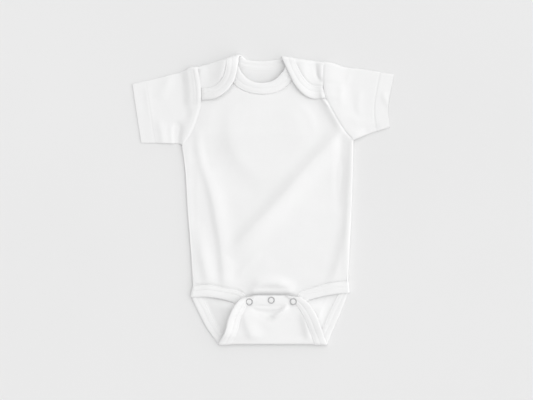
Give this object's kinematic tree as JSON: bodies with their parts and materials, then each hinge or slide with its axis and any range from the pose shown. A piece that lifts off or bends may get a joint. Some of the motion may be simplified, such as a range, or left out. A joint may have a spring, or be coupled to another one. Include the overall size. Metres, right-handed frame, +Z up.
{
  "type": "baby bodysuit",
  "caption": "White short-sleeved baby bodysuit laid flat, with overlapping lap shoulders, ribbed neck and leg bindings, and a crotch flap closed by ring snaps.",
  "frame": {"origin": "middle of the laid-out garment's footprint, on the surface it lies on", "axes": "+X towards the garment's side at the viewer's right as seen from above, +Y towards the neck, +Z up from the surface"},
  "size_m": [0.3402, 0.3784, 0.0106],
  "materials": {
    "jersey": "matte white cotton jersey",
    "rib": "matte white folded rib knit",
    "snap_metal": "nickel-plated ring snap"
  },
  "bodies": {
    "root": {"back_panel": "jersey", "front_panel": "jersey", "back_neck_binding": "rib", "front_neck_binding": "rib", "leg_binding_left": "rib", "leg_binding_right": "rib", "sleeve_left": "jersey", "sleeve_right": "jersey", "snap_cap_1": "snap_metal", "snap_cap_2": "snap_metal", "snap_cap_3": "snap_metal", "snap_socket_1": "snap_metal", "snap_socket_2": "snap_metal", "snap_socket_3": "snap_metal", "snap_stud_1": "snap_metal", "snap_stud_2": "snap_metal", "snap_stud_3": "snap_metal", "snap_ring_1": "snap_metal", "snap_ring_2": "snap_metal", "snap_ring_3": "snap_metal"}
  },
  "joints": []
}
